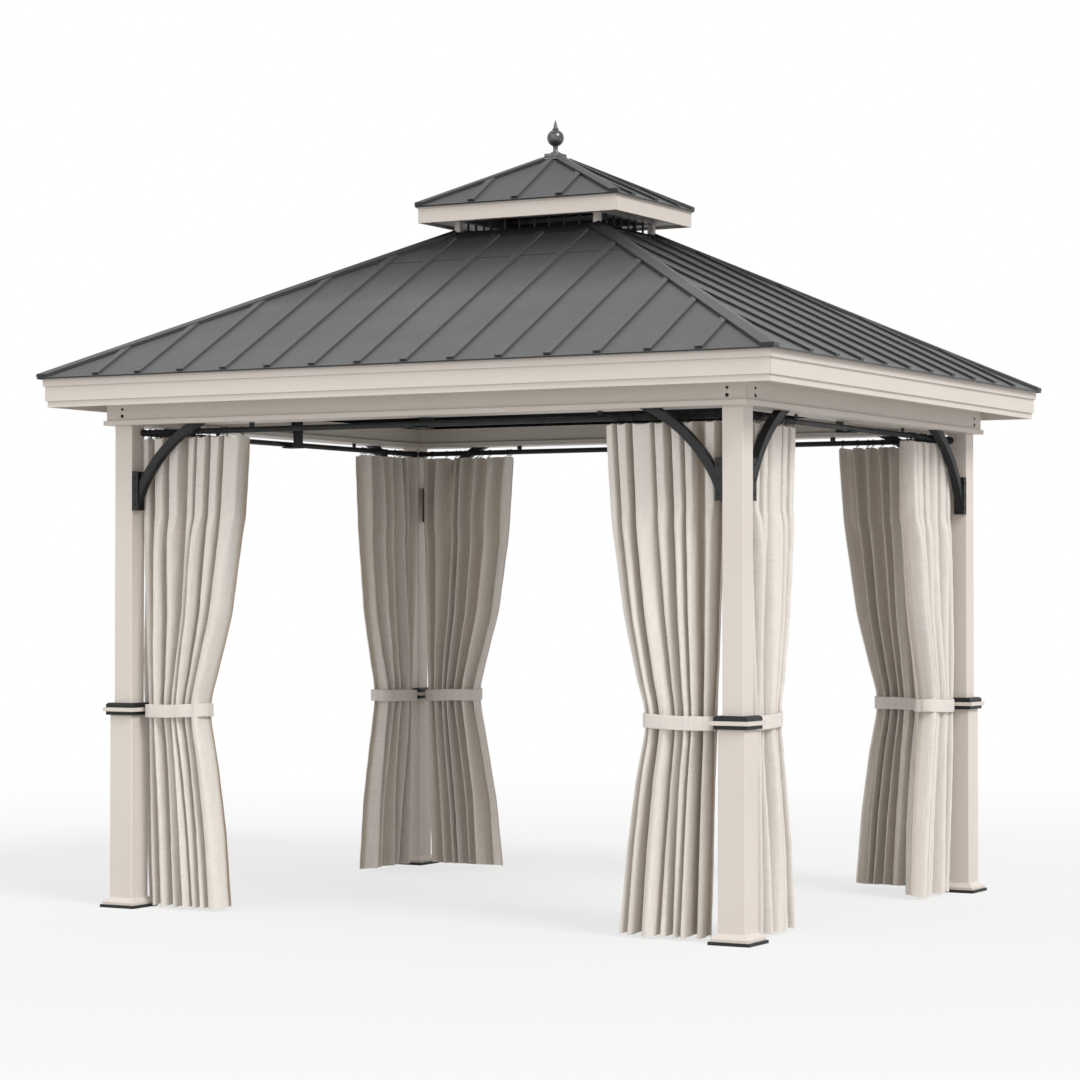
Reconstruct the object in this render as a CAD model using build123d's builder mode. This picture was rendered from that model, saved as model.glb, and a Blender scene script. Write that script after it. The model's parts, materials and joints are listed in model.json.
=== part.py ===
"""Hardtop metal gazebo: two-tier standing-seam roof on four posts, arched braces and tied curtains.

Millimetres, +Z up. The origin is on the ground at the centre of the plan, +X runs along the front.
"""
import os
from math import atan, atan2, cos, degrees, hypot, radians, sin, tan

from build123d import *

# Plan and main heights
POST_SPACING_X = 3010.0
POST_SPACING_Y = 2460.0
EAVE_OVERHANG = 296.0
BEAM_UNDERSIDE = 2152.0
EAVE_RISE = 206.0
LOWER_ROOF_RISE = 691.0
UPPER_ROOF_RISE = 243.0
VENT_HALF_X = 374.0
VENT_HALF_Y = 282.0
UPPER_OVERHANG_X = 150.0
UPPER_OVERHANG_Y = 106.0

# Fits between pieces
SEAT = 0.3
MITRE_GAP = 0.6

# Posts, sleeves and feet
POST_SIZE = 94.0
POST_WALL = 2.5
POST_CORNER = 4.0
SLEEVE_SIZE = 122.0
SLEEVE_WALL = 2.5
SLEEVE_CORNER = 5.0
FOOT_PLATE_SIZE = 184.0
FOOT_PLATE_THICKNESS = 13.0
SKIRT_SIZE = 168.0
SKIRT_LIP = 12.0
SKIRT_RISE = 20.0
COLLAR_HEIGHT = 858.0
COLLAR_LOWER = 16.0
COLLAR_BAND = 17.0
COLLAR_UPPER = 21.0
COLLAR_RING_SIZE = 148.0
COLLAR_BAND_SIZE = 168.0
COLLAR_BEVEL = 7.0

# Beams
BEAM_HEIGHT = 94.0
BEAM_WEB_WIDTH = 146.0
BEAM_FLANGE_WIDTH = 168.0
BEAM_FLANGE_HEIGHT = 21.0
BEAM_WALL = 4.0

# Eave trim
DRIP_PROJECTION = 20.0
DRIP_LIP = 4.0
DRIP_THICKNESS = 2.0
FASCIA_TOP_BAND = 36.0
FASCIA_MIDDLE_BAND = 66.0
FASCIA_BOTTOM_BAND = 27.0
FASCIA_STEP = 8.0
FASCIA_THICKNESS = 12.0
SOFFIT_THICKNESS = 3.0
SOFFIT_RISE = 45.0

# Roof sheets
SHEET_THICKNESS = 2.0
FRONT_SEAM_PITCH = 227.0
SIDE_SEAM_PITCH = 258.0
SEAM_WIDTH = 33.0
SEAM_HEIGHT = 12.0
FRONT_SEAM_COUNT = 14
SIDE_SEAM_COUNT = 10
UPPER_SEAM_COUNT = 3
LAP_STEP = 1.5
LAP_HEIGHT_SHARE = 0.775
HIP_GAP = 4.0
HIP_CAP_LEG = 40.0
HIP_CAP_RISE = 13.0
UPPER_CAP_LEG = 26.0
UPPER_CAP_RISE = 14.0
FLASHING_WIDTH = 66.0
FLASHING_RISE = 8.0

# Roof frame
RAFTER_WIDTH = 40.0
RAFTER_DEPTH = 60.0
HIP_RAFTER_DROP = 14.0
WALL_PLATE_WIDTH = 60.0

# Vent and upper tier
CURB_WIDTH = 30.0
CURB_RISE = 8.0
CURB_DROP = 84.0
VENT_POST_SIZE = 28.0
VENT_OPEN_HEIGHT = 50.0
VENT_BAR_SIZE = 8.0
FRONT_BAR_COUNT = 8
SIDE_BAR_COUNT = 6
HEAD_RAIL_HEIGHT = 40.0
UPPER_SOFFIT_RISE = 10.0
UPPER_FASCIA_HEIGHT = 76.0
UPPER_FASCIA_THICKNESS = 12.0
UPPER_FASCIA_LIP = 4.0
UPPER_FASCIA_LIP_HEIGHT = 10.0
UPPER_DRIP_PROJECTION = 8.0

# Finial
FINIAL_BASE_SIZE = 76.0
FINIAL_BASE_THICKNESS = 12.0
FINIAL_RIM_SIZE = 92.0
FINIAL_RIM_HEIGHT = 8.0
FINIAL_RIM_LAP = 4.0
FINIAL_BEVEL_HEIGHT = 7.0
FINIAL_FLANGE_RADIUS = 24.0
FINIAL_FLANGE_HEIGHT = 8.0
FINIAL_NECK_RADIUS = 13.0
FINIAL_NECK_HEIGHT = 30.0
FINIAL_BALL_RADIUS = 39.0
FINIAL_BALL_SWEEP = 140.0
FINIAL_BALL_BANDS = 8
FINIAL_TOP_RING_RADIUS = 15.0
FINIAL_TOP_RING_HEIGHT = 8.0
FINIAL_SPIKE_RADIUS = 11.0
FINIAL_SPIKE_HEIGHT = 41.0
FINIAL_TIP_RADIUS = 1.5
FINIAL_SIDES = 16

# Knee braces
BRACE_REACH = 330.0
BRACE_DROP = 372.0
BRACE_SWEEP = 46.0
BRACE_BAND = 36.0
BRACE_THICKNESS = 36.0
BRACE_OUTSET = 22.0
SHOE_WIDTH = 50.0
SHOE_CHEEK = 5.0
SHOE_DEPTH = 32.0
SHOE_THICKNESS = 7.0
SHOE_HEIGHT = 174.0
SHOE_DROP = 206.0

# Curtain rods, rings and hangers
ROD_RADIUS = 12.5
ROD_SIDES = 14
ROD_DROP = 31.0
ROD_INSET = 31.0
ROD_CUP_RADIUS = 15.5
ROD_CUP_LENGTH = 14.0
HANGER_WIDTH = 24.0
HANGER_THICKNESS = 6.0
HANGER_PLACE = 640.0
BRACKET_WIDTH = 74.0
BRACKET_THICKNESS = 6.0
BRACKET_RISE = 84.0
BRACKET_SPACER = 30.0
RING_INNER = 14.5
RING_OUTER = 16.5
RING_THICKNESS = 5.0
RING_SIDES = 6
RING_COUNT = 6
CLIP_LENGTH = 3.0
CLIP_WIDTH = 4.0

# Curtains and tie bands
CURTAIN_SETBACK = 3.0
CURTAIN_HEM = 14.0
CURTAIN_TOP_NEAR = 64.0
CURTAIN_TOP_FAR = 600.0
CURTAIN_TOP_DEPTH = 54.0
CURTAIN_SWELL_HEIGHT = 1350.0
CURTAIN_SWELL_NEAR = 78.0
CURTAIN_SWELL_FAR = 524.0
CURTAIN_SWELL_DEPTH = 58.0
CURTAIN_WAIST_RISE = 22.0
CURTAIN_WAIST_NEAR = 98.0
CURTAIN_WAIST_FAR = 404.0
CURTAIN_WAIST_DEPTH = 64.0
CURTAIN_HEM_NEAR = 98.0
CURTAIN_HEM_FAR = 522.0
CURTAIN_HEM_DEPTH = 62.0
TIE_HEIGHT = 58.0
TIE_THICKNESS = 4.0

# Worked-out places
UP = Vector(0, 0, 1)
POST_HALF_X = POST_SPACING_X / 2
POST_HALF_Y = POST_SPACING_Y / 2
EAVE_HALF_X = POST_HALF_X + EAVE_OVERHANG
EAVE_HALF_Y = POST_HALF_Y + EAVE_OVERHANG
UPPER_EAVE_HALF_X = VENT_HALF_X + UPPER_OVERHANG_X
UPPER_EAVE_HALF_Y = VENT_HALF_Y + UPPER_OVERHANG_Y
BEAM_TOP = BEAM_UNDERSIDE + BEAM_HEIGHT
EAVE_HEIGHT = BEAM_UNDERSIDE + EAVE_RISE
VENT_FOOT_HEIGHT = EAVE_HEIGHT + LOWER_ROOF_RISE
FASCIA_HEIGHT = FASCIA_TOP_BAND + FASCIA_MIDDLE_BAND + FASCIA_BOTTOM_BAND
FASCIA_BOTTOM = EAVE_HEIGHT - FASCIA_HEIGHT
FASCIA_FACE = EAVE_OVERHANG - DRIP_PROJECTION
FASCIA_BACK = FASCIA_FACE - 2 * FASCIA_STEP - FASCIA_THICKNESS
SOFFIT_HEIGHT = FASCIA_BOTTOM + SOFFIT_RISE
CURB_TOP = VENT_FOOT_HEIGHT + CURB_RISE
CURB_BOTTOM = VENT_FOOT_HEIGHT - CURB_DROP
HEAD_RAIL_BOTTOM = CURB_TOP + VENT_OPEN_HEIGHT
UPPER_FASCIA_BOTTOM = HEAD_RAIL_BOTTOM - UPPER_SOFFIT_RISE
UPPER_EAVE_HEIGHT = UPPER_FASCIA_BOTTOM + UPPER_FASCIA_HEIGHT
APEX_HEIGHT = UPPER_EAVE_HEIGHT + UPPER_ROOF_RISE
APEX_OPEN_SHARE = (FINIAL_RIM_SIZE / 2 - FINIAL_RIM_LAP) / UPPER_EAVE_HALF_X
UPPER_FASCIA_BACK = UPPER_DRIP_PROJECTION + UPPER_FASCIA_LIP + UPPER_FASCIA_THICKNESS
COLLAR_BAND_BOTTOM = COLLAR_HEIGHT + COLLAR_LOWER
CURTAIN_WAIST_HEIGHT = COLLAR_HEIGHT + CURTAIN_WAIST_RISE
COLLAR_BAND_TOP = COLLAR_BAND_BOTTOM + COLLAR_BAND
ROD_HEIGHT = BEAM_UNDERSIDE - ROD_DROP
RING_HEIGHT = ROD_HEIGHT + ROD_RADIUS - RING_INNER + SEAT
CURTAIN_TOP = RING_HEIGHT - RING_OUTER - CLIP_LENGTH - SEAT
CURTAIN_INSET = ROD_INSET + CURTAIN_SETBACK


class Side:
    """One side of the plan: its outward and along directions and its half sizes."""

    def __init__(self, name, turn):
        across = name in ("front", "rear")
        self.name = name
        self.along = Vector(1, 0, 0).rotate(Axis.Z, turn)
        self.outward = Vector(0, -1, 0).rotate(Axis.Z, turn)
        self.post_half = POST_HALF_X if across else POST_HALF_Y
        self.post_out = POST_HALF_Y if across else POST_HALF_X
        self.eave_half = EAVE_HALF_X if across else EAVE_HALF_Y
        self.eave_out = EAVE_HALF_Y if across else EAVE_HALF_X
        self.vent_half = VENT_HALF_X if across else VENT_HALF_Y
        self.vent_out = VENT_HALF_Y if across else VENT_HALF_X
        self.upper_half = UPPER_EAVE_HALF_X if across else UPPER_EAVE_HALF_Y
        self.upper_out = UPPER_EAVE_HALF_Y if across else UPPER_EAVE_HALF_X
        self.seam_count = FRONT_SEAM_COUNT if across else SIDE_SEAM_COUNT
        self.seam_pitch = FRONT_SEAM_PITCH if across else SIDE_SEAM_PITCH
        self.bar_count = FRONT_BAR_COUNT if across else SIDE_BAR_COUNT

    def place(self, along, out, height):
        """The point at these distances along the side, outward and up."""
        return self.along * along + self.outward * out + UP * height

    def section(self, along=0):
        """Plane across the side: local x is outward, local y is up."""
        return Plane(self.along * along, x_dir=self.outward, z_dir=self.outward.cross(UP))

    def elevation(self, out):
        """Upright plane along the side: local x runs along, local y is up."""
        return Plane(self.outward * out, x_dir=self.along, z_dir=self.outward)

    def level(self, along, out, height):
        """Level plane at a point: local x runs along the side."""
        return Plane(self.place(along, out, height), x_dir=self.along, z_dir=UP)


SIDES = [Side("front", 0), Side("right", 90), Side("rear", 180), Side("left", 270)]
ENDS = (-1, 1)
CORNERS = [(x, y) for y in ENDS for x in ENDS]


class Slope:
    """The underside of one roof slope, from its eave line up to its top edge."""

    def __init__(self, side, eave_half, eave_out, eave_height, top_half, top_out, top_height):
        self.side = side
        self.eave_half = eave_half
        self.eave_out = eave_out
        self.eave_height = eave_height
        self.top_half = top_half
        self.top_out = top_out
        self.rise = (top_height - eave_height) / (eave_out - top_out)
        self.pitch = atan(self.rise)
        self.length = hypot(eave_out - top_out, top_height - eave_height)
        upward = UP * sin(self.pitch) - side.outward * cos(self.pitch)
        origin = side.place(0, eave_out, eave_height)
        self.plane = Plane(origin, x_dir=side.along, z_dir=side.along.cross(upward))

    def underside(self, out):
        """Height of the sheet's underside at a distance out from the middle of the plan."""
        return self.eave_height + (self.eave_out - out) * self.rise

    def half_at(self, distance):
        """Half width of the slope at a distance up from the eave."""
        return self.eave_half - (self.eave_half - self.top_half) * distance / self.length

    def outline(self, inset, start=0):
        """Corners of the slope, held back from both hips by the inset."""
        shift = inset * hypot(self.eave_half - self.top_half, self.length) / self.length
        low = self.half_at(start) - shift
        high = self.top_half - shift
        if high > 0:
            return [(-low, start), (low, start), (high, self.length), (-high, self.length)]
        tip = self.length * (self.eave_half - shift) / (self.eave_half - self.top_half)
        return [(-low, start), (low, start), (0, tip)]


def lower_slope(side):
    return Slope(side, side.eave_half, side.eave_out, EAVE_HEIGHT,
                 side.vent_half, side.vent_out, VENT_FOOT_HEIGHT)


def upper_slope(side):
    top = APEX_HEIGHT - UPPER_ROOF_RISE * APEX_OPEN_SHARE
    return Slope(side, side.upper_half, side.upper_out, UPPER_EAVE_HEIGHT,
                 side.upper_half * APEX_OPEN_SHARE, side.upper_out * APEX_OPEN_SHARE, top)


def board_top(slope_of, side, out):
    """Height of a fascia's top, just under the flatter of the two slopes that meet at its corners."""
    rise = min(slope_of(other).rise for other in SIDES)
    slope = slope_of(side)
    return slope.eave_height + (slope.eave_out - out) * rise - SEAT


def write(name, pieces):
    """Write one node that holds these solids."""
    with BuildPart() as node:
        add(pieces)
    node.part.label = name
    export_step(node.part, f"parts/{name}.step")


def mitred_bar(side, outline, half, out, hollow=None, gap=MITRE_GAP):
    """A bar along one side with this section, cut at 45 degrees over the corners at (half, out)."""
    with BuildPart() as bar:
        with BuildSketch(side.section()):
            with BuildLine():
                Polyline(outline, close=True)
            make_face()
            if hollow:
                with BuildLine():
                    Polyline(hollow, close=True)
                make_face(mode=Mode.SUBTRACT)
        extrude(amount=half + BEAM_FLANGE_WIDTH + EAVE_OVERHANG, both=True)
        for end in ENDS:
            normal = (side.along * end - side.outward).normalized()
            corner = side.place(end * half, out, 0) - normal * (gap / 2)
            split(bisect_by=Plane(corner, z_dir=normal), keep=Keep.BOTTOM)
    return bar.part


def box_outline(low_out, high_out, bottom, top):
    return [(low_out, bottom), (high_out, bottom), (high_out, top), (low_out, top)]


def post(x, y):
    """Full-height square tube with rounded corners, from its foot plate to the beam."""
    with BuildPart() as tube:
        with BuildSketch(Plane((x, y, FOOT_PLATE_THICKNESS))):
            RectangleRounded(POST_SIZE, POST_SIZE, POST_CORNER)
            inner = POST_SIZE - 2 * POST_WALL
            Rectangle(inner, inner, mode=Mode.SUBTRACT)
        extrude(amount=BEAM_UNDERSIDE - FOOT_PLATE_THICKNESS)
    return tube.part


def sleeve(x, y):
    """Wider lower tube round a post, with a flared skirt that stands on the foot plate."""
    with BuildPart() as tube:
        with BuildSketch(Plane((x, y, FOOT_PLATE_THICKNESS))):
            RectangleRounded(SLEEVE_SIZE, SLEEVE_SIZE, SLEEVE_CORNER)
        extrude(amount=COLLAR_HEIGHT - FOOT_PLATE_THICKNESS)
        with BuildSketch(Plane((x, y, FOOT_PLATE_THICKNESS))):
            Rectangle(SKIRT_SIZE, SKIRT_SIZE)
        extrude(amount=SKIRT_LIP)
        with BuildSketch(Plane((x, y, FOOT_PLATE_THICKNESS + SKIRT_LIP))):
            Rectangle(SKIRT_SIZE, SKIRT_SIZE)
        extrude(amount=SKIRT_RISE, taper=degrees(atan((SKIRT_SIZE - SLEEVE_SIZE) / 2 / SKIRT_RISE)))
        with BuildSketch(Plane((x, y, FOOT_PLATE_THICKNESS))):
            inner = SLEEVE_SIZE - 2 * SLEEVE_WALL
            Rectangle(inner, inner)
        extrude(amount=COLLAR_HEIGHT - FOOT_PLATE_THICKNESS, mode=Mode.SUBTRACT)
    return tube.part


def foot_plate(x, y):
    with BuildPart() as plate:
        with BuildSketch(Plane((x, y, 0))):
            Rectangle(FOOT_PLATE_SIZE, FOOT_PLATE_SIZE)
        extrude(amount=FOOT_PLATE_THICKNESS)
    return plate.part


def collar_ring(x, y, bottom, height, size, bevel_top=0):
    """One square layer of a collar, bored to sit round the post."""
    with BuildPart() as ring:
        with BuildSketch(Plane((x, y, bottom))):
            Rectangle(size, size)
        extrude(amount=height)
        if bevel_top:
            chamfer(ring.faces().sort_by(Axis.Z)[-1].edges(), length=bevel_top)
        with BuildSketch(Plane((x, y, bottom))):
            bore = POST_SIZE + 2 * SEAT
            Rectangle(bore, bore)
        extrude(amount=height, mode=Mode.SUBTRACT)
    return ring.part


def beam(side):
    """Box beam with a wider bottom flange, mitred at the posts."""
    web = BEAM_WEB_WIDTH / 2
    flange = BEAM_FLANGE_WIDTH / 2
    out = side.post_out
    shoulder = BEAM_UNDERSIDE + BEAM_FLANGE_HEIGHT
    outline = [(out - flange, BEAM_UNDERSIDE), (out + flange, BEAM_UNDERSIDE), (out + flange, shoulder),
               (out + web, shoulder), (out + web, BEAM_TOP), (out - web, BEAM_TOP),
               (out - web, shoulder), (out - flange, shoulder)]
    hollow = box_outline(out - web + BEAM_WALL, out + web - BEAM_WALL,
                         BEAM_UNDERSIDE + BEAM_WALL, BEAM_TOP - BEAM_WALL)
    return mitred_bar(side, outline, side.post_half, out, hollow)


def fascia(side):
    """Eave board in three bands, each stepping in below the one above."""
    out = side.post_out + FASCIA_FACE
    back = side.post_out + FASCIA_BACK
    middle = EAVE_HEIGHT - FASCIA_TOP_BAND
    low = FASCIA_BOTTOM + FASCIA_BOTTOM_BAND
    step = FASCIA_STEP
    outline = [(back, FASCIA_BOTTOM), (out - 2 * step, FASCIA_BOTTOM), (out - 2 * step, low),
               (out - step, low), (out - step, middle), (out, middle),
               (out, board_top(lower_slope, side, out)), (back, board_top(lower_slope, side, back))]
    return mitred_bar(side, outline, side.post_half, side.post_out)


def soffit(side):
    low = side.post_out + WALL_PLATE_WIDTH / 2 + SEAT
    outline = box_outline(low, side.post_out + FASCIA_BACK, SOFFIT_HEIGHT, SOFFIT_HEIGHT + SOFFIT_THICKNESS)
    return mitred_bar(side, outline, side.post_half, side.post_out)


def roof_sheet(slope, seam_count, seam_pitch, cap_leg, top_strip, lap_share=0):
    """Sheet of one slope with a drip lip and standing seams that stop at the hip caps and the top strip."""
    with BuildPart() as sheet:
        with BuildSketch(slope.plane):
            with BuildLine():
                Polyline(slope.outline(HIP_GAP), close=True)
            make_face()
        extrude(amount=SHEET_THICKNESS)
        if lap_share:
            with BuildSketch(slope.plane.offset(SHEET_THICKNESS)):
                with BuildLine():
                    Polyline(slope.outline(HIP_GAP, slope.length * lap_share), close=True)
                make_face()
            extrude(amount=LAP_STEP)
        with BuildSketch(slope.plane.offset(SHEET_THICKNESS)):
            foot = SEAM_HEIGHT * tan(slope.pitch)
            head = slope.length - top_strip
            for number in range(seam_count):
                across = (number - (seam_count - 1) / 2) * seam_pitch
                with Locations((across, (foot + head) / 2)):
                    Rectangle(SEAM_WIDTH, head - foot)
            with BuildLine():
                Polyline(slope.outline(cap_leg + SEAT), close=True)
            make_face(mode=Mode.INTERSECT)
        extrude(amount=SEAM_HEIGHT)
        with BuildSketch(slope.side.section()):
            lip_middle = slope.eave_height + (SHEET_THICKNESS - DRIP_LIP) / 2
            with Locations((slope.eave_out - DRIP_THICKNESS / 2, lip_middle)):
                Rectangle(DRIP_THICKNESS, DRIP_LIP + SHEET_THICKNESS)
        extrude(amount=slope.eave_half - HIP_GAP, both=True)
    return sheet.part


def flashing(side):
    """Strip along the top edge of a lower slope, over the ends of the seams."""
    slope = lower_slope(side)
    start = slope.length - FLASHING_WIDTH
    lift = SHEET_THICKNESS + LAP_STEP
    with BuildPart() as strip:
        with BuildSketch(slope.plane.offset(lift)):
            with BuildLine():
                Polyline(slope.outline(HIP_CAP_LEG + SEAT, start + SEAT), close=True)
            make_face()
        extrude(amount=FLASHING_RISE - lift)
    return strip.part


class Hip:
    """The line where two neighbouring slopes meet, from the eave corner upward."""

    def __init__(self, x, y, half_x, half_y, eave_height, top_x, top_y, top_height):
        self.foot = Vector(x * half_x, y * half_y, eave_height)
        self.head = Vector(x * top_x, y * top_y, top_height)
        climb = self.head - self.foot
        self.line = climb.normalized()
        self.inward = Vector(climb.X, climb.Y, 0).normalized()
        self.normal_x = Vector(x * climb.Z / (half_x - top_x), 0, 1).normalized()
        self.normal_y = Vector(0, y * climb.Z / (half_y - top_y), 1).normalized()
        self.length = climb.length
        self.plane = Plane(self.foot, x_dir=self.line.cross(UP).normalized(), z_dir=self.line)

    def local(self, vector):
        return (vector.dot(self.plane.x_dir), vector.dot(self.plane.y_dir))

    def chevron(self, low, high, leg):
        """Section of a cap that lies over both slopes between two heights above their undersides."""
        both = (self.normal_x + self.normal_y) * (1 / (1 + self.normal_x.dot(self.normal_y)))
        leg_x = self.line.cross(self.normal_x)
        leg_x = leg_x if leg_x.dot(self.normal_y) < 0 else leg_x * -1
        leg_y = self.line.cross(self.normal_y)
        leg_y = leg_y if leg_y.dot(self.normal_x) < 0 else leg_y * -1
        points = [both * low, both * low + leg_x * leg, both * high + leg_x * leg,
                  both * high, both * high + leg_y * leg, both * low + leg_y * leg]
        return [self.local(point) for point in points]


def lower_hip(x, y):
    return Hip(x, y, EAVE_HALF_X, EAVE_HALF_Y, EAVE_HEIGHT, VENT_HALF_X, VENT_HALF_Y, VENT_FOOT_HEIGHT)


def upper_hip(x, y):
    return Hip(x, y, UPPER_EAVE_HALF_X, UPPER_EAVE_HALF_Y, UPPER_EAVE_HEIGHT, 0, 0, APEX_HEIGHT)


def hip_cap(hip, low, high, leg, stop):
    """Cap over one hip, trimmed at the eaves and stopped short of the roof's top."""
    with BuildPart() as cap:
        with BuildSketch(hip.plane.offset(-2 * leg)):
            with BuildLine():
                Polyline(hip.chevron(low, high, leg), close=True)
            make_face()
        extrude(amount=hip.length + 4 * leg)
        for normal in (Vector(-hip.inward.X, 0, 0), Vector(0, -hip.inward.Y, 0)):
            split(bisect_by=Plane(hip.foot, z_dir=normal.normalized()), keep=Keep.BOTTOM)
        split(bisect_by=Plane(hip.head - hip.inward * stop, z_dir=hip.inward), keep=Keep.BOTTOM)
    return cap.part


def hip_rafter(x, y):
    """Square tube under one hip, from inside the fascia to the vent curb's corner."""
    hip = lower_hip(x, y)
    climb = hip.line.dot(UP)
    run = hip.line.dot(hip.inward)
    inset = EAVE_OVERHANG - FASCIA_BACK + RAFTER_DEPTH
    start = inset / min(abs(hip.inward.X), abs(hip.inward.Y)) / run
    stop = hip.length - (RAFTER_DEPTH + HIP_RAFTER_DROP) * climb / run - RAFTER_WIDTH / 2
    with BuildPart() as rafter:
        with BuildSketch(hip.plane.offset(start)):
            down = hip.local(UP)[1]
            with Locations((0, -down * (HIP_RAFTER_DROP + RAFTER_DEPTH / 2))):
                Rectangle(RAFTER_WIDTH, RAFTER_DEPTH)
        extrude(amount=stop - start)
    return rafter.part


def centre_rafter(side):
    """Rafter under the middle of one slope, from inside the fascia to the vent curb."""
    slope = lower_slope(side)
    run = cos(slope.pitch)
    start = (EAVE_OVERHANG - FASCIA_BACK + RAFTER_DEPTH * sin(slope.pitch) + SEAT) / run
    stop = slope.length - (RAFTER_DEPTH * sin(slope.pitch) + SEAT) / run
    with BuildPart() as rafter:
        with BuildSketch(slope.plane):
            with Locations((0, (start + stop) / 2)):
                Rectangle(RAFTER_WIDTH, stop - start)
        extrude(amount=-RAFTER_DEPTH)
    return rafter.part


def wall_plate(side):
    """Rail on top of a beam, its top bevelled to the rafters, ending against the hip rafters."""
    slope = lower_slope(side)
    half = WALL_PLATE_WIDTH / 2
    out = side.post_out
    depth = RAFTER_DEPTH / cos(slope.pitch)
    outline = [(out - half, BEAM_TOP), (out + half, BEAM_TOP),
               (out + half, slope.underside(out + half) - depth),
               (out - half, slope.underside(out - half) - depth)]
    with BuildPart() as plate:
        with BuildSketch(side.section()):
            with BuildLine():
                Polyline(outline, close=True)
            make_face()
        extrude(amount=side.post_half + half, both=True)
        for end in ENDS:
            across = side.along * (end * (side.eave_out - side.vent_out))
            normal = (across - side.outward * (side.eave_half - side.vent_half)).normalized()
            corner = side.place(end * side.eave_half, side.eave_out, 0)
            limit = Plane(corner - normal * (RAFTER_WIDTH / 2 + SEAT), z_dir=normal)
            split(bisect_by=limit, keep=Keep.BOTTOM)
    return plate.part


def ring_rail(side, bottom, top):
    """One rail of the square ring that frames the vent."""
    outline = box_outline(side.vent_out - CURB_WIDTH, side.vent_out - SEAT, bottom, top)
    return mitred_bar(side, outline, side.vent_half, side.vent_out)


def vent_post(x, y):
    inset = VENT_POST_SIZE / 2 + SEAT
    with BuildPart() as block:
        with BuildSketch(Plane((x * (VENT_HALF_X - inset), y * (VENT_HALF_Y - inset), CURB_TOP))):
            Rectangle(VENT_POST_SIZE, VENT_POST_SIZE)
        extrude(amount=VENT_OPEN_HEIGHT)
    return block.part


def vent_bars(side):
    """Upright bars of the vent grille on one side, evenly spaced between the corner posts."""
    clear = 2 * (side.vent_half - VENT_POST_SIZE)
    pitch = clear / (side.bar_count + 1)
    with BuildPart() as bars:
        with BuildSketch(side.level(0, side.vent_out - CURB_WIDTH / 2, CURB_TOP)):
            with GridLocations(pitch, 0, side.bar_count, 1):
                Rectangle(VENT_BAR_SIZE, VENT_BAR_SIZE)
        extrude(amount=VENT_OPEN_HEIGHT)
    return bars.part


def upper_fascia(side):
    """Eave board of the upper tier, with a small lip along its top."""
    out = side.upper_out - UPPER_DRIP_PROJECTION
    face = out - UPPER_FASCIA_LIP
    back = side.upper_out - UPPER_FASCIA_BACK
    lip = UPPER_EAVE_HEIGHT - UPPER_FASCIA_LIP_HEIGHT
    outline = [(back, UPPER_FASCIA_BOTTOM), (face, UPPER_FASCIA_BOTTOM), (face, lip), (out, lip),
               (out, board_top(upper_slope, side, out)), (back, board_top(upper_slope, side, back))]
    return mitred_bar(side, outline, side.upper_half, side.upper_out)


def upper_soffit(side):
    """Flat panel between the vent's head rail and the upper fascia."""
    reach = side.upper_half - UPPER_FASCIA_BACK - SEAT
    back = side.upper_out - UPPER_FASCIA_BACK
    with BuildPart() as panel:
        with BuildSketch(side.level(0, 0, HEAD_RAIL_BOTTOM)):
            with BuildLine():
                Polyline([(-reach, -back), (reach, -back), (side.vent_half, -side.vent_out),
                          (-side.vent_half, -side.vent_out)], close=True)
            make_face()
        extrude(amount=SOFFIT_THICKNESS)
        for end in ENDS:
            across = side.along * (end * (side.upper_out - side.vent_out))
            normal = (across - side.outward * (side.upper_half - side.vent_half)).normalized()
            corner = side.place(end * side.vent_half, side.vent_out, 0)
            split(bisect_by=Plane(corner - normal * (MITRE_GAP / 2), z_dir=normal), keep=Keep.BOTTOM)
    return panel.part


def knee_brace(side, end):
    """Arched bar from a channel-shaped shoe on the post up to the beam, bending towards level."""
    face = POST_SIZE / 2
    chord = hypot(BRACE_REACH, BRACE_DROP)
    radius = chord / 2 / sin(radians(BRACE_SWEEP / 2))
    sagging = radius * cos(radians(BRACE_SWEEP / 2))
    middle_x = face + BRACE_REACH / 2 + sagging * BRACE_DROP / chord
    middle_z = BEAM_UNDERSIDE - BRACE_DROP / 2 - sagging * BRACE_REACH / chord
    centre = (end * (side.post_half - middle_x), middle_z)
    shoe_bottom = BEAM_UNDERSIDE - SHOE_DROP - SHOE_HEIGHT
    zone_height = BEAM_UNDERSIDE - shoe_bottom
    zone_length = BRACE_REACH + BRACE_BAND * 2
    plane = side.elevation(side.post_out + BRACE_OUTSET)
    with BuildPart() as brace:
        with BuildSketch(plane):
            with Locations(centre):
                Circle(radius + BRACE_BAND / 2)
                Circle(radius - BRACE_BAND / 2, mode=Mode.SUBTRACT)
            zone_middle = end * (side.post_half - face - zone_length / 2)
            with Locations((zone_middle, shoe_bottom + zone_height / 2)):
                Rectangle(zone_length, zone_height, mode=Mode.INTERSECT)
        extrude(amount=BRACE_THICKNESS / 2, both=True)
        with BuildSketch(plane):
            shoe_middle = end * (side.post_half - face - SHOE_THICKNESS / 2)
            with Locations((shoe_middle, shoe_bottom + SHOE_HEIGHT / 2)):
                Rectangle(SHOE_THICKNESS, SHOE_HEIGHT)
        extrude(amount=SHOE_WIDTH / 2, both=True)
        for cheek in ENDS:
            with BuildSketch(plane.offset(cheek * (SHOE_WIDTH - SHOE_CHEEK) / 2)):
                cheek_middle = end * (side.post_half - face - SHOE_DEPTH / 2)
                with Locations((cheek_middle, shoe_bottom + SHOE_HEIGHT / 2)):
                    Rectangle(SHOE_DEPTH, SHOE_HEIGHT)
            extrude(amount=SHOE_CHEEK / 2, both=True)
    return brace.part


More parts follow.
